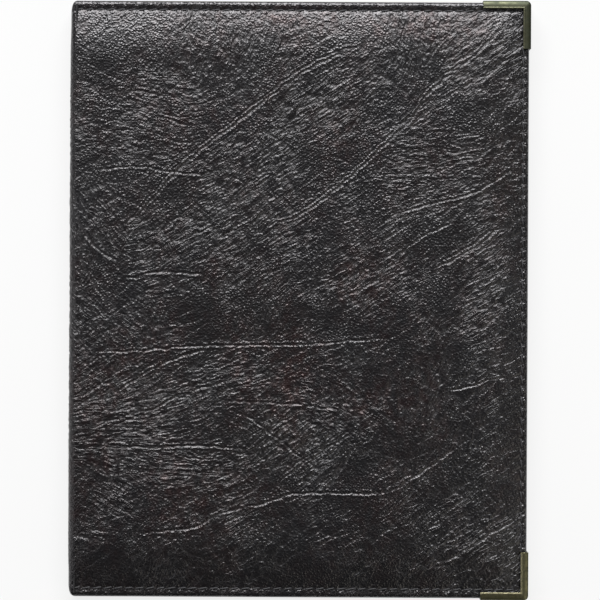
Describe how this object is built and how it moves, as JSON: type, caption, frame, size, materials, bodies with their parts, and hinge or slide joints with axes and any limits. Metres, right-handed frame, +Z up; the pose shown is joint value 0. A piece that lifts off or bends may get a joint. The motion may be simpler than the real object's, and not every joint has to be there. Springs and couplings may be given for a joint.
{
  "type": "menu cover",
  "caption": "Padded leather A4 menu cover that opens at its spine, with folded brass corners on the fore-edge, inside pockets and clear inner sleeves.",
  "frame": {"origin": "on the surface that the closed cover lies on, under the middle of its footprint", "axes": "+X from the spine to the fore-edge, +Y to the head, +Z up from the back cover to the front cover"},
  "size_m": [0.245, 0.3188, 0.017],
  "materials": {
    "leather": "dark brown-black grained leatherette, semi-gloss, padded",
    "foam": "soft sheet foam",
    "board": "grey bookbinder's board",
    "lining": "thin fine-grained leatherette, matt black",
    "tape": "folded binding tape, matt black",
    "clear_film": "clear flexible film",
    "brass": "antique brass, dulled, with bright worn edges"
  },
  "bodies": {
    "back_cover": {"back_leather": "leather", "back_foam": "foam", "back_board": "board", "back_lining": "lining", "back_pocket": "clear_film", "back_pocket_tape": "tape", "back_corner_top": "brass", "back_corner_bottom": "brass"},
    "spine": {"spine_leather": "leather", "spine_board": "board", "spine_lining": "lining", "sleeve_hinge_tape": "tape"},
    "front_cover": {"front_leather": "leather", "front_foam": "foam", "front_board": "board", "front_lining": "lining", "front_pocket": "clear_film", "front_pocket_tape": "tape", "front_corner_top": "brass", "front_corner_bottom": "brass"},
    "lower_sleeve": {"lower_sleeve_outer_film": "clear_film", "lower_sleeve_inner_film": "clear_film", "lower_sleeve_binding": "tape"},
    "upper_sleeve": {"upper_sleeve_outer_film": "clear_film", "upper_sleeve_inner_film": "clear_film", "upper_sleeve_binding": "tape"}
  },
  "joints": [
    {"name": "spine_fold", "type": "hinge", "parent": "back_cover", "child": "spine", "pos_m": [-0.12159, 0, 0.00086], "axis": [0, -1, 0], "range_deg": [0, 90]},
    {"name": "cover_open", "type": "hinge", "parent": "spine", "child": "front_cover", "pos_m": [-0.12159, 0, 0.01614], "axis": [0, -1, 0], "range_deg": [0, 90]},
    {"name": "lower_sleeve_turn", "type": "hinge", "parent": "spine", "child": "lower_sleeve", "pos_m": [-0.11045, 0, 0.0077], "axis": [0, 1, 0], "range_deg": [0, 91.5]},
    {"name": "upper_sleeve_turn", "type": "hinge", "parent": "spine", "child": "upper_sleeve", "pos_m": [-0.11045, 0, 0.0093], "axis": [0, -1, 0], "range_deg": [0, 91.5]}
  ],
  "couplings": [
    {"joint": "lower_sleeve_turn", "follows": "spine_fold", "ratio": 1.0131},
    {"joint": "upper_sleeve_turn", "follows": "cover_open", "ratio": 1.0131}
  ]
}
